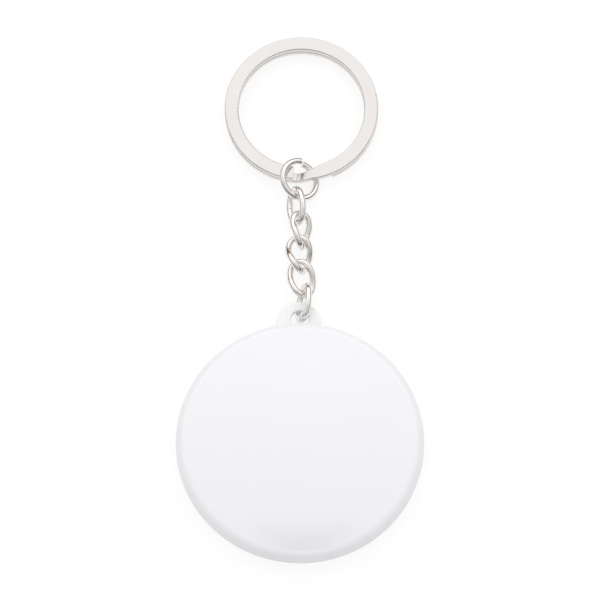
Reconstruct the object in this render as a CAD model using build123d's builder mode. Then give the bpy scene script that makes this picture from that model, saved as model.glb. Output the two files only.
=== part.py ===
"""Button badge keyring: a pressed button badge, a short twisted chain, a jump ring and a split ring.

It lies on its back on a table. The origin is the middle of the badge's back on the table, +Y runs
along the chain to the split ring, +X is to the right and +Z is up, out of the badge's face.
Lengths are millimetres and angles are degrees.
"""
from build123d import *
import math
import os

os.makedirs("parts", exist_ok=True)

# Badge: overall size and the outline of its pressed front
badge_diameter = 44.0
badge_edge_height = 4.3
dome_rise = 3.6
shoulder_radius = 2.0
curl_radius = 1.1
film_thickness = 0.10
paper_thickness = 0.15
sheet_thickness = 0.25
lip_reach = 2.4
lip_step = 0.15

# Back cover: foot ring, floor, wall and the flange that the curled lip holds
cover_play = 0.05
foot_height = 0.9
foot_width = 1.5
foot_inset = 3.4
foot_round = 0.3
floor_thickness = 1.4
wall_thickness = 1.4
wall_play = 0.5
flange_thickness = 1.0

# Tab and its hole: the tab leaves the wall under the curled lip and lies level with the chain
tab_play = 0.15
tab_thickness = 1.2
tab_radius = 4.1
tab_offset = 0.2
tab_end_play = 0.785
tab_edge_round = 0.25
hole_radius = 1.65
hole_offset = 0.07
hole_reach = 1.3
hole_edge_round = 0.15

# Chain links: bent round wire, each lying with its own turn, twist and lean as the chain has fallen.
# The twist is taken up over twist_share of the half link, and the hook shares say where the first link
# hangs in the hole, of its play there.
link_wire = 1.2
link_inside_length = 5.2
link_inside_width = 2.8
link_play = 0.587
link_seam = 0.04
link_names = ("link_5", "link_4", "link_3", "link_2", "link_1")
link_turns = (65.8, -4.0, -20.4, -50.5, 54.4)
link_twists = (2.4, 25.8, 47.1, 26.9, 2.6)
link_leans = (-6.8, 11.4, 5.8, 1.3, 4.8)
link_side_shares = (0.0, -0.08, -0.167, -0.102, -0.293)
twist_share = 0.6
hook_side_share = 0.334
hook_pull_share = 0.042

# Jump ring: a round wire ring whose two ends do not quite meet
jump_wire = 1.2
jump_bore = 5.8
jump_play = 0.37
jump_turn = -28.0
jump_bend = 2.0
jump_gap = 0.3
jump_step = 0.35
jump_gap_angle = 5.0
table_play = 0.02

# Split ring: flat strip wound in two layers, with a jog from one layer to the other
split_diameter = 28.0
strip_width = 2.5
strip_thickness = 1.15
strip_play = 0.04
strip_round = 0.22
split_offset = 0.27
split_play = 0.6
split_lift_share = 0.5
top_end_gap = 0.4
lower_end_angle = 24.0
narrow_start = 17.0
drop_start = 9.0
drop_end = -5.0
narrow_end = -13.0
jog_steps = 10
jog_narrow_share = 0.38


def turned(angle, lean=0.0):
    """Directions of a flat piece turned about the chain's line and leant in the table's plane."""
    across = Vector(math.cos(math.radians(angle)), 0, math.sin(math.radians(angle)))
    normal = Vector(-math.sin(math.radians(angle)), 0, math.cos(math.radians(angle)))
    return across.rotate(Axis.Z, lean), normal.rotate(Axis.Z, lean)


# The front's outline is a wide dome arc, a tight shoulder and a curl under the edge
badge_radius = badge_diameter / 2
shoulder_centre = badge_radius - shoulder_radius
dome_radius = (shoulder_centre**2 + dome_rise**2 - shoulder_radius**2) / (2 * (dome_rise - shoulder_radius))
dome_centre_height = badge_edge_height + dome_rise - dome_radius
shoulder_angle = math.degrees(math.atan2(badge_edge_height - dome_centre_height, shoulder_centre))
curl_centre = badge_radius - curl_radius
lip_bottom = badge_edge_height - curl_radius
front_thickness = film_thickness + paper_thickness + sheet_thickness


def pressed_layer(depth, thickness, lip_radius):
    """One layer of the pressed front, depth below the outer surface, out to its own lip edge."""
    with BuildPart() as layer:
        with BuildSketch(Plane.XZ):
            with BuildLine():
                for inset in (depth, depth + thickness):
                    CenterArc(
                        (0, dome_centre_height), dome_radius - inset, 90, shoulder_angle - 90
                    )
                    CenterArc(
                        (shoulder_centre, badge_edge_height), shoulder_radius - inset, 0, shoulder_angle
                    )
                    CenterArc((curl_centre, badge_edge_height), curl_radius - inset, 0, -90)
                    Line((curl_centre, lip_bottom + inset), (lip_radius, lip_bottom + inset))
                Line(
                    (lip_radius, lip_bottom + depth), (lip_radius, lip_bottom + depth + thickness)
                )
                Line(
                    (0, dome_centre_height + dome_radius - depth),
                    (0, dome_centre_height + dome_radius - depth - thickness),
                )
            make_face()
        revolve(axis=Axis.Z)
    return layer


lip_radius = badge_radius - lip_reach
clear_film = pressed_layer(0, film_thickness, lip_radius + 2 * lip_step)
clear_film.part.label = "clear_film"
export_step(clear_film.part, "parts/clear_film.step")

artwork_disc = pressed_layer(film_thickness, paper_thickness, lip_radius + lip_step)
artwork_disc.part.label = "artwork_disc"
export_step(artwork_disc.part, "parts/artwork_disc.step")

front_shell = pressed_layer(film_thickness + paper_thickness, sheet_thickness, lip_radius)
front_shell.part.label = "front_shell"
export_step(front_shell.part, "parts/front_shell.step")

# Back cover: the flange lies on the lip, and the wall drops through it to the floor and the foot ring
wall_radius = lip_radius - wall_play
wall_inner_radius = wall_radius - wall_thickness
flange_bottom = lip_bottom + front_thickness + cover_play
flange_top = flange_bottom + flange_thickness
flange_space = shoulder_radius - front_thickness - cover_play
flange_radius = shoulder_centre + math.sqrt(flange_space**2 - (flange_top - badge_edge_height)**2)
flange_bevel = curl_radius - front_thickness
foot_outer_radius = wall_radius - foot_inset
floor_top = foot_height + floor_thickness
tab_bottom = lip_bottom - tab_play - tab_thickness
hole_distance = badge_radius + hole_reach
link_reach = (link_inside_length + link_wire) / 2
link_pitch = link_inside_length - link_play
hole_play = hole_radius - link_wire / 2
first_lean = math.radians(link_leans[0])
first_x = hook_side_share * hole_play - hole_offset - link_reach * math.sin(first_lean)
first_y = hole_distance + hook_pull_share * hole_play + link_reach * math.cos(first_lean)
tab_distance = first_y + link_pitch - link_reach - link_wire / 2 - tab_end_play - tab_radius

with BuildPart() as back_cover:
    with BuildSketch(Plane.XZ):
        with BuildLine():
            Polyline(
                (0, foot_height),
                (foot_outer_radius - foot_width, foot_height),
                (foot_outer_radius - foot_width, 0),
                (foot_outer_radius, 0),
                (foot_outer_radius, foot_height),
                (wall_radius, foot_height),
                (wall_radius, flange_bottom),
                (flange_radius - flange_bevel, flange_bottom),
                (flange_radius, flange_bottom + flange_bevel),
                (flange_radius, flange_top),
                (wall_inner_radius, flange_top),
                (wall_inner_radius, floor_top),
                (0, floor_top),
                close=True,
            )
        make_face()
    revolve(axis=Axis.Z)
    foot_edges = back_cover.edges().filter_by(GeomType.CIRCLE).group_by(Axis.Z)[0]
    fillet(foot_edges, radius=foot_round)
    wall_edge = back_cover.edges().filter_by(GeomType.CIRCLE).filter_by(
        lambda edge: abs(edge.radius - wall_radius) < cover_play and edge.center().Z < tab_bottom
    )
    fillet(wall_edge, radius=foot_round)
    with BuildSketch(Plane.XY.offset(tab_bottom)):
        with Locations((-tab_offset, tab_distance)):
            Circle(tab_radius)
        with Locations((-tab_offset, (tab_distance + wall_inner_radius) / 2)):
            Rectangle(2 * tab_radius, tab_distance - wall_inner_radius)
        Circle(wall_inner_radius, mode=Mode.SUBTRACT)
    extrude(amount=tab_thickness)
    tab_edges = back_cover.edges().filter_by(GeomType.CIRCLE).filter_by(
        lambda edge: abs(edge.radius - tab_radius) < cover_play
    )
    fillet(tab_edges, radius=tab_edge_round)
    with BuildSketch(Plane.XY.offset(tab_bottom)):
        with Locations((-hole_offset, hole_distance)):
            Circle(hole_radius)
    extrude(amount=tab_thickness, mode=Mode.SUBTRACT)
    hole_edges = back_cover.edges().filter_by(GeomType.CIRCLE).filter_by(
        lambda edge: abs(edge.radius - hole_radius) < cover_play
    )
    fillet(hole_edges, radius=hole_edge_round)
back_cover.part.label = "back_cover"
export_step(back_cover.part, "parts/back_cover.step")

# Chain links: each is a twisted oval of arcs in its own seat plane, turned less or more at its two ends
chain_height = tab_bottom + tab_thickness / 2
strand_reach = (link_inside_width + link_wire) / 2


def arc_meeting(start, start_way, end, end_way):
    """Where two arcs meet that leave the start one way and reach the end another way."""
    chord = end - start
    square = 2 * (1 - start_way.dot(end_way))
    slant = chord.dot(start_way + end_way)
    reach = (math.sqrt(slant**2 + square * chord.dot(chord)) - slant) / square
    return (start + end + (start_way - end_way) * reach) / 2


def arc_middle(start, start_way, end):
    """Middle of the arc that leaves the start one way and stops at the end."""
    chord = end - start
    half_turn = math.radians(chord.get_angle(start_way)) / 2
    bulge = start_way - chord * (chord.dot(start_way) / chord.dot(chord))
    return start + chord / 2 + bulge.normalized() * (chord.length / 2 * math.tan(half_turn))


def curb_link(seat, twist):
    """A twisted link of round wire with a butt seam in its left strand."""
    rise = strand_reach * math.sin(math.radians(twist)) / (twist_share * link_reach)
    with BuildPart() as link:
        for end in (1, -1):
            bow = Vector(0, end * link_reach, 0)
            bow_way = Vector(math.cos(math.radians(twist)), 0, end * math.sin(math.radians(twist)))
            left = Vector(-strand_reach, 0, 0)
            left_way = Vector(0, end, -end * rise).normalized()
            right = Vector(strand_reach, 0, 0)
            right_way = Vector(0, -end, -end * rise).normalized()
            rising = arc_meeting(left, left_way, bow, bow_way)
            falling = arc_meeting(bow, bow_way, right, right_way)
            with BuildLine(seat) as route:
                ThreePointArc(tuple(left), tuple(arc_middle(left, left_way, rising)), tuple(rising))
                ThreePointArc(tuple(rising), tuple(arc_middle(bow, -bow_way, rising)), tuple(bow))
                ThreePointArc(tuple(bow), tuple(arc_middle(bow, bow_way, falling)), tuple(falling))
                ThreePointArc(tuple(falling), tuple(arc_middle(right, -right_way, falling)), tuple(right))
            with BuildSketch(Plane(origin=route.wire() @ 0, z_dir=route.wire() % 0)):
                Circle(link_wire / 2)
            sweep(path=route.wire())
        with BuildSketch(Plane(origin=route.wire() @ 0, z_dir=route.wire() % 0)):
            Circle(link_wire)
        extrude(amount=link_seam / 2, both=True, mode=Mode.SUBTRACT)
    return link


for number, name in enumerate(link_names):
    link_x = first_x + link_side_shares[number] * link_pitch
    link_y = first_y + number * link_pitch
    across, normal = turned(link_turns[number], link_leans[number])
    seat = Plane(origin=(link_x, link_y, chain_height), x_dir=across, z_dir=normal)
    link = curb_link(seat, link_twists[number])
    link.part.label = name
    export_step(link.part, f"parts/{name}.step")

# Jump ring: two arcs from the bottom of the ring, bent apart, and the right one a little tighter, so
# that the ends miss each other
jump_radius = (jump_bore + jump_wire) / 2
jump_y = link_y + link_reach - (link_wire + jump_wire) / 2 - jump_play + jump_radius
across, normal = turned(jump_turn)
bend_drop = math.sin(math.radians(jump_bend)) * normal.Z
jump_drop = jump_radius * (bend_drop + math.hypot(across.Z, bend_drop))
jump_height = jump_drop + jump_wire / 2 + table_play
gap_half_angle = math.degrees(jump_gap / 2 / jump_radius)
with BuildPart() as jump_ring:
    for side in (-1, 1):
        base = Plane(origin=(0, jump_y - jump_radius, jump_height), x_dir=across, z_dir=normal)
        seat = base.rotated((-side * jump_bend, 0, 0))
        half_radius = jump_radius - (1 + side) * jump_step / 4
        sweep_angle = 180 - side * jump_gap_angle - gap_half_angle
        with BuildLine(seat) as route:
            CenterArc((0, half_radius), half_radius, -90, side * sweep_angle)
        with BuildSketch(Plane(origin=route.wire() @ 0, z_dir=route.wire() % 0)):
            Circle(jump_wire / 2)
        sweep(path=route.wire())
jump_ring.part.label = "jump_ring"
export_step(jump_ring.part, "parts/jump_ring.step")

# Split ring: its near side is lifted by the jump ring's wire and its far side is on the table
split_radius = split_diameter / 2
strip_centre = split_radius - strip_width / 2
split_inner_radius = split_radius - strip_width
layer_step = strip_thickness + strip_play
split_lift = split_lift_share * jump_wire
split_tilt = math.degrees(math.asin(split_lift / split_diameter))
split_y = jump_y + jump_radius - jump_wire / 2 - split_play + split_inner_radius
split_rise = split_lift / 2 + strip_thickness / 2
ring_plane = Plane(origin=(split_offset, split_y, split_rise)).rotated((-split_tilt, 0, 0))


def strip_place(angle, level):
    """Plane square to the strip, angle from the bottom of the ring, level above the lower layer."""
    turn = math.radians(angle - 90)
    out = Vector(math.cos(turn), math.sin(turn), 0)
    place = ring_plane.from_local_coords(out * strip_centre + Vector(0, 0, level))
    along = ring_plane.from_local_coords(Vector(-out.Y, out.X, 0)) - ring_plane.origin
    radial = ring_plane.from_local_coords(out) - ring_plane.origin
    return Plane(origin=place, x_dir=radial, z_dir=along)


def jog_shape(angle):
    """Level and narrowing of the strip at an angle of the jog, from the top layer down to the lower."""
    fallen = min(max((drop_start - angle) / (drop_start - drop_end), 0), 1)
    level = layer_step * (1 - fallen * fallen * (3 - 2 * fallen))
    before = (narrow_start - angle) / (narrow_start - drop_end)
    after = (angle - narrow_end) / (drop_end - narrow_end)
    narrowing = jog_narrow_share * strip_width * math.sin(math.pi / 2 * min(before, after))
    return level, narrowing


top_start_angle = drop_end - math.degrees(top_end_gap / strip_centre)
ring_axis = Axis(ring_plane.origin, ring_plane.z_dir)
with BuildPart() as split_ring:
    with BuildSketch(strip_place(narrow_start, layer_step)):
        RectangleRounded(strip_width, strip_thickness, strip_round)
    revolve(axis=ring_axis, revolution_arc=360 + top_start_angle - narrow_start)
    with BuildSketch(strip_place(lower_end_angle, 0)):
        RectangleRounded(strip_width, strip_thickness, strip_round)
    revolve(axis=ring_axis, revolution_arc=360 + narrow_end - lower_end_angle)
    for step in range(jog_steps + 1):
        angle = narrow_start + (narrow_end - narrow_start) * step / jog_steps
        level, narrowing = jog_shape(angle)
        with BuildSketch(strip_place(angle, level)):
            with Locations((narrowing / 2, 0)):
                RectangleRounded(strip_width - narrowing, strip_thickness, strip_round)
    loft(ruled=True)
split_ring.part.label = "split_ring"
export_step(split_ring.part, "parts/split_ring.step")
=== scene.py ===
"""Looks of the button badge keyring: its finishes, a white table, soft studio light and the camera."""
import math

import bpy
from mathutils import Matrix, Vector

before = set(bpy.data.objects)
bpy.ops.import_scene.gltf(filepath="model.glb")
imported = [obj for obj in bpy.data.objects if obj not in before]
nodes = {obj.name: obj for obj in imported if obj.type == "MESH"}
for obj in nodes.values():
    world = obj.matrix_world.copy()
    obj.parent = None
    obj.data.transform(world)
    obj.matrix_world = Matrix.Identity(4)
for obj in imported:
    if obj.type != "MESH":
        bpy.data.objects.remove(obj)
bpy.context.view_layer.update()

scene = bpy.context.scene
MM = 0.001

# Camera: the photograph looks down on the table from the badge's side
CAMERA_TARGET = (0.0, 27.9 * MM, 0.0)
CAMERA_ELEVATION = math.radians(72.0)
CAMERA_DISTANCE = 0.7
CAMERA_SENSOR = 36.0
CAMERA_LENS = 232.9
CAMERA_CLIP = (0.01, 10.0)

# Nickel plate and tin: range of the tone, roughness, and how much grain and scratches show
WIRE = {"low": (0.885, 0.858, 0.834, 1.0), "high": (0.935, 0.914, 0.893, 1.0),
        "roughness": 0.1, "grain": 0.05, "lines": 0.08}
STRIP = {"low": (0.815, 0.78, 0.757, 1.0), "high": (0.832, 0.802, 0.78, 1.0),
         "roughness": 0.17, "grain": 0.015, "lines": 0.02}
TIN = {"low": (0.62, 0.62, 0.62, 1.0), "high": (0.74, 0.74, 0.73, 1.0),
       "roughness": 0.26, "grain": 0.2, "lines": 0.12}
METAL_SCRATCH = (0.55, 0.52, 0.5, 1.0)
METAL_GRAIN_HEIGHT = 0.01 * MM

# Film: range of its tone, gloss where it is clean and rubbed, and the hazy, stretched shoulder
FILM_LOW = (0.864, 0.854, 0.886, 1.0)
FILM_HIGH = (0.871, 0.862, 0.891, 1.0)
FILM_CLEAN = 0.1
FILM_RUBBED = 0.2
FILM_INDEX = 2.0
FILM_WAVE_HEIGHT = 0.1 * MM
HAZE_EDGE = (20.3 * MM, 20.9 * MM)
HAZE_DEPTH = 0.34

# Paper: range of its tone and the height of its fibres
PAPER_LOW = (0.84, 0.84, 0.84, 1.0)
PAPER_HIGH = (0.9, 0.9, 0.9, 1.0)
PAPER_ROUGHNESS = 0.8
PAPER_FIBRE_HEIGHT = 0.02 * MM

# Plastic: range of its tone and roughness, its scuffs, and how deep light goes into it
PLASTIC_LOW = (0.9, 0.9, 0.905, 1.0)
PLASTIC_HIGH = (0.93, 0.93, 0.93, 1.0)
PLASTIC_ROUGHNESS = (0.26, 0.4)
PLASTIC_SCUFF = (0.74, 0.73, 0.72, 1.0)
PLASTIC_SCUFF_SEEN = 0.25
PLASTIC_SKIN_HEIGHT = 0.03 * MM
PLASTIC_LIGHT_DEPTH = 1.2 * MM
PLASTIC_LIGHT_WEIGHT = 0.4

# Table: its size and place, its own white, and the glow that the object, metal and the eye get from it
TABLE_HALF = 1.5
TABLE_DROP = 0.02 * MM
TABLE_MATT = 0.25
TABLE_BOUNCE = 0.42
TABLE_GLOSS = 0.68
TABLE_SHOWN = 0.78

# Light on the object: the plain level, how much more comes from the back, and less from low down
LIGHT_LEVEL = 1.03
BACK_LIGHT = 0.33
LOW_LIGHT = 0.95
LOW_LIGHT_TOP = 0.4

# What gloss sees: walls by height, a ceiling that falls off towards the viewer, and a pale underside
WALLS = ((0.0, (0.045, 0.022, 0.013, 1.0)), (0.17, (0.07, 0.038, 0.025, 1.0)),
         (0.3, (0.44, 0.35, 0.29, 1.0)), (0.44, (1.0, 1.0, 1.0, 1.0)))
CEILING_SLOPE = 0.6
CEILING_LEAST = 0.25
UNDERSIDE_EDGE = (-0.12, -0.02)
UNDERSIDE = 0.85

# The dark opening that the photographer looked through. It is fixed in the studio. A place in it is given
# by the tilt of the surface that mirrors it to the photograph's place, and by how far it is to the side.
MIRROR_Y = math.cos(CAMERA_ELEVATION)
MIRROR_Z = math.sin(CAMERA_ELEVATION)
OPENING = (0.04, 0.025, 0.018, 1.0)
OPENING_MIDDLE = 0.055
BODY_START = (0.165, 0.173)
BODY_END = (0.2, 0.3)
BODY_SIDES = (0.17, 0.29)
ARMS_START = (0.162, 0.167)
ARMS_END = (0.178, 0.19)
ARMS_SIDES = (0.38, 0.5)
ARMS_DEPTH = 0.7


def add_camera():
    """The photograph's camera, level and pointed at the middle of the keyring."""
    data = bpy.data.cameras.new("camera")
    data.sensor_width = CAMERA_SENSOR
    data.lens = CAMERA_LENS
    data.clip_start, data.clip_end = CAMERA_CLIP
    camera = bpy.data.objects.new("camera", data)
    offset = Vector((0.0, -math.cos(CAMERA_ELEVATION), math.sin(CAMERA_ELEVATION))) * CAMERA_DISTANCE
    camera.location = Vector(CAMERA_TARGET) + offset
    camera.rotation_euler = (math.pi / 2 - CAMERA_ELEVATION, 0.0, 0.0)
    scene.collection.objects.link(camera)
    scene.camera = camera


class Graph:
    """A short way to write a node tree."""

    def __init__(self, tree):
        self.tree = tree
        tree.nodes.clear()

    def add(self, kind, settings=None, **inputs):
        node = self.tree.nodes.new(kind)
        for name, value in (settings or {}).items():
            setattr(node, name, value)
        for name, value in inputs.items():
            self.feed(node, name.replace("_", " "), value)
        return node

    def feed(self, node, place, value):
        """Links a socket to an input, or sets the input to a plain value."""
        socket = node.inputs[place]
        if isinstance(value, bpy.types.NodeSocket):
            self.tree.links.new(value, socket)
        else:
            socket.default_value = value

    def by_place(self, kind, operation, *values):
        node = self.add(kind, {"operation": operation})
        for number, value in enumerate(values):
            self.feed(node, number, value)
        return node

    def math(self, operation, *values):
        return self.by_place("ShaderNodeMath", operation, *values).outputs[0]

    def ramp(self, factor, *stops):
        node = self.tree.nodes.new("ShaderNodeValToRGB")
        elements = node.color_ramp.elements
        while len(elements) < len(stops):
            elements.new(0.5)
        for element, (place, colour) in zip(elements, stops):
            element.position = place
            element.color = colour
        self.tree.links.new(factor, node.inputs[0])
        return node.outputs[0]

    def step(self, value, low, high, start=0.0, end=1.0):
        """A smooth step from start to end while value goes from low to high."""
        node = self.add("ShaderNodeMapRange", {"interpolation_type": "SMOOTHSTEP"}, Value=value)
        for name, number in (("From Min", low), ("From Max", high), ("To Min", start), ("To Max", end)):
            node.inputs[name].default_value = number
        return node.outputs[0]

    def mix(self, factor, first, second):
        return self.add("ShaderNodeMixRGB", Fac=factor, Color1=first, Color2=second).outputs[0]

    def tint(self, colour, amount):
        """A colour multiplied by one number."""
        node = self.add("ShaderNodeVectorMath", {"operation": "SCALE"}, Vector=colour, Scale=amount)
        return node.outputs[0]


def grey(value):
    return (value, value, value, 1.0)


def new_material(name):
    material = bpy.data.materials.new(name)
    material.use_nodes = True
    graph = Graph(material.node_tree)
    output = graph.add("ShaderNodeOutputMaterial")
    return material, graph, output


def noise(graph, scale, detail=3.0, roughness=0.5, stretch=(1.0, 1.0, 1.0), turn=0.0):
    """Noise on the object's own coordinates, scale in waves a metre."""
    place = graph.add("ShaderNodeTexCoord")
    mapping = graph.add("ShaderNodeMapping", Vector=place.outputs["Object"], Scale=stretch,
                        Rotation=(0.0, 0.0, math.radians(turn)))
    node = graph.add("ShaderNodeTexNoise", Vector=mapping.outputs[0], Scale=scale, Detail=detail,
                     Roughness=roughness)
    return node.outputs["Fac"]


def scratches(graph, first_scale, first_turn, second_scale, second_turn, edges=(0.66, 0.66)):
    """Thin, sparse lines in two directions: one on a scratch, zero elsewhere."""
    lines = []
    for scale, turn, edge in ((first_scale, first_turn, edges[0]), (second_scale, second_turn, edges[1])):
        fine = noise(graph, scale, 2.0, 0.5, (1.0, 0.05, 1.0), turn)
        lines.append(graph.step(fine, edge, 0.74))
    return graph.math("MAXIMUM", *lines)


def nickel(name, low, high, roughness, grain, lines):
    """Bright plate: uneven tone, handling smears, hairline scratches and a fine grain."""
    material, graph, output = new_material(name)
    colour = graph.ramp(noise(graph, 260.0), (0.35, low), (0.65, high))
    seen = graph.math("MULTIPLY", scratches(graph, 5200.0, 25.0, 4600.0, -50.0), lines)
    colour = graph.mix(seen, colour, METAL_SCRATCH)
    smear = graph.step(noise(graph, 700.0, 4.0), 0.3, 0.7, roughness * 0.85, roughness * 1.2)
    bump = graph.add("ShaderNodeBump", Strength=grain, Distance=METAL_GRAIN_HEIGHT,
                     Height=noise(graph, 3000.0))
    shader = graph.add("ShaderNodeBsdfPrincipled", Base_Color=colour, Metallic=1.0,
                       Roughness=graph.math("ADD", smear, seen), Normal=bump.outputs[0])
    graph.feed(output, "Surface", shader.outputs[0])
    return material


def film_material():
    """Clear polyester film over blank white paper: glossy, a trace of lilac, faint waves in the gloss."""
    material, graph, output = new_material("clear_film")
    colour = graph.ramp(noise(graph, 90.0, 2.0), (0.3, FILM_LOW), (0.7, FILM_HIGH))
    bump = graph.add("ShaderNodeBump", Strength=0.04, Distance=FILM_WAVE_HEIGHT,
                     Height=noise(graph, 160.0, 1.0))
    rub = scratches(graph, 3800.0, 15.0, 3400.0, -65.0, (0.69, 0.69))
    gloss = graph.step(rub, 0.0, 1.0, FILM_CLEAN, FILM_RUBBED)
    place = graph.add("ShaderNodeTexCoord")
    level = graph.by_place("ShaderNodeVectorMath", "MULTIPLY", place.outputs["Object"], (1.0, 1.0, 0.0))
    radius = graph.by_place("ShaderNodeVectorMath", "LENGTH", level.outputs[0])
    haze = graph.step(radius.outputs["Value"], *HAZE_EDGE, 0.0, HAZE_DEPTH)
    shader = graph.add("ShaderNodeBsdfPrincipled", Base_Color=colour, IOR=FILM_INDEX,
                       Roughness=graph.math("ADD", gloss, haze), Normal=bump.outputs[0])
    graph.feed(output, "Surface", shader.outputs[0])
    return material


def paper_material():
    """Blank white paper, seen only where the disc's edge is tucked under."""
    material, graph, output = new_material("white_paper")
    fibre = noise(graph, 9000.0, 5.0, 0.7)
    colour = graph.ramp(fibre, (0.3, PAPER_LOW), (0.7, PAPER_HIGH))
    bump = graph.add("ShaderNodeBump", Strength=0.3, Distance=PAPER_FIBRE_HEIGHT, Height=fibre)
    shader = graph.add("ShaderNodeBsdfPrincipled", Base_Color=colour, Roughness=PAPER_ROUGHNESS,
                       Normal=bump.outputs[0])
    graph.feed(output, "Surface", shader.outputs[0])
    return material


def plastic_material():
    """Moulded white plastic: satin, slightly translucent, with faint scuffs."""
    material, graph, output = new_material("white_plastic")
    colour = graph.ramp(noise(graph, 300.0), (0.3, PLASTIC_LOW), (0.7, PLASTIC_HIGH))
    scuffs = scratches(graph, 2600.0, 40.0, 2200.0, -20.0, (0.66, 0.68))
    colour = graph.mix(graph.math("MULTIPLY", scuffs, PLASTIC_SCUFF_SEEN), colour, PLASTIC_SCUFF)
    height = graph.math("SUBTRACT", noise(graph, 2600.0), graph.math("MULTIPLY", scuffs, 0.5))
    bump = graph.add("ShaderNodeBump", Strength=0.1, Distance=PLASTIC_SKIN_HEIGHT, Height=height)
    rough = graph.step(noise(graph, 500.0), 0.3, 0.7, *PLASTIC_ROUGHNESS)
    shader = graph.add("ShaderNodeBsdfPrincipled", Base_Color=colour, Roughness=rough,
                       Subsurface_Weight=PLASTIC_LIGHT_WEIGHT, Subsurface_Radius=(1.0, 1.0, 1.0),
                       Subsurface_Scale=PLASTIC_LIGHT_DEPTH, Normal=bump.outputs[0])
    graph.feed(output, "Surface", shader.outputs[0])
    return material


def add_materials():
    """One procedural finish for each kind of surface, put on the model's own pieces."""
    wire = nickel("nickel_wire", **WIRE)
    strip = nickel("nickel_strip", **STRIP)
    tin = nickel("tinplate", **TIN)
    finishes = {"clear_film": film_material(), "artwork_disc": paper_material(), "front_shell": tin,
                "back_cover": plastic_material(), "split_ring": strip}
    for name, node in nodes.items():
        node.data.materials.clear()
        node.data.materials.append(finishes.get(name, wire))
        for polygon in node.data.polygons:
            polygon.use_smooth = True


def shown_to_eye(graph):
    """The light path's outputs, and one for rays that show a surface straight or through something."""
    seen = graph.add("ShaderNodeLightPath").outputs
    return seen, graph.math("MAXIMUM", seen["Is Camera Ray"], seen["Is Transmission Ray"])


def add_floor():
    """A white table that still takes the object's soft shadow."""
    mesh = bpy.data.meshes.new("table")
    corners = [(x * TABLE_HALF, y * TABLE_HALF, 0.0) for x, y in ((-1, -1), (1, -1), (1, 1), (-1, 1))]
    mesh.from_pydata(corners, [], [(0, 1, 2, 3)])
    table = bpy.data.objects.new("table", mesh)
    table.location.z = -TABLE_DROP
    scene.collection.objects.link(table)
    material, graph, output = new_material("table_white")
    seen, shown = shown_to_eye(graph)
    extra = graph.math("MULTIPLY", seen["Is Glossy Ray"], TABLE_GLOSS - TABLE_BOUNCE)
    extra = graph.math("MAXIMUM", extra, graph.math("MULTIPLY", shown, TABLE_SHOWN - TABLE_BOUNCE))
    strength = graph.math("ADD", extra, TABLE_BOUNCE)
    glow = graph.add("ShaderNodeEmission", Color=grey(1.0), Strength=strength)
    matt = graph.add("ShaderNodeBsdfDiffuse", Color=grey(TABLE_MATT))
    both = graph.add("ShaderNodeAddShader")
    graph.feed(both, 0, matt.outputs[0])
    graph.feed(both, 1, glow.outputs[0])
    graph.feed(output, "Surface", both.outputs[0])
    mesh.materials.append(material)


def opening_mask(graph, across, away, up):
    """One in the opening and zero outside it: a wedge towards the viewer with two arms at its start."""
    near = graph.math("SUBTRACT", MIRROR_Y, away)
    squares = graph.math("ADD", graph.math("POWER", across, 2.0), graph.math("POWER", near, 2.0))
    tilt = graph.math("DIVIDE", graph.math("SQRT", squares), graph.math("ADD", up, MIRROR_Z))
    side = graph.math("DIVIDE", across, graph.math("MAXIMUM", near, 0.001))
    off = graph.math("ABSOLUTE", graph.math("SUBTRACT", side, OPENING_MIDDLE))
    shapes = []
    for start, end, sides, depth in ((BODY_START, BODY_END, BODY_SIDES, 1.0),
                                     (ARMS_START, ARMS_END, ARMS_SIDES, ARMS_DEPTH)):
        shape = graph.math("MULTIPLY", graph.step(tilt, *start), graph.step(tilt, *end, 1.0, 0.0))
        shapes.append(graph.math("MULTIPLY", shape, graph.step(off, *sides, depth, 0.0)))
    return graph.math("MAXIMUM", *shapes)


def add_world():
    """A light tent: white overhead, dim low down, with the dark opening the viewer looks through."""
    world = bpy.data.worlds.new("studio")
    scene.world = world
    world.use_nodes = True
    graph = Graph(world.node_tree)
    output = graph.add("ShaderNodeOutputWorld")
    place = graph.add("ShaderNodeTexCoord")
    parts = graph.add("ShaderNodeSeparateXYZ", Vector=place.outputs["Generated"])
    across, away, up = (parts.outputs[axis] for axis in "XYZ")

    # What gloss shows
    rise = graph.math("MULTIPLY", graph.math("SUBTRACT", away, MIRROR_Y), CEILING_SLOPE)
    ceiling = graph.math("MAXIMUM", graph.math("ADD", rise, 1.0), CEILING_LEAST)
    tent = graph.tint(graph.ramp(up, *WALLS), ceiling)
    gloss = graph.mix(opening_mask(graph, across, away, up), tent, OPENING)
    gloss = graph.mix(graph.step(up, *UNDERSIDE_EDGE, 1.0, 0.0), gloss, grey(UNDERSIDE))

    # What lights the object, and plain white where the camera sees past the table
    back = graph.math("ADD", LIGHT_LEVEL, graph.math("MULTIPLY", away, BACK_LIGHT))
    soft = graph.tint(graph.ramp(up, (0.0, grey(LOW_LIGHT)), (LOW_LIGHT_TOP, grey(1.0))), back)
    seen, shown = shown_to_eye(graph)
    light = graph.mix(seen["Is Glossy Ray"], soft, gloss)
    light = graph.mix(shown, light, grey(1.0))
    sky = graph.add("ShaderNodeBackground", Color=light, Strength=1.0)
    graph.feed(output, "Surface", sky.outputs[0])


add_camera()
add_materials()
add_floor()
add_world()

scene.view_settings.view_transform = "Standard"
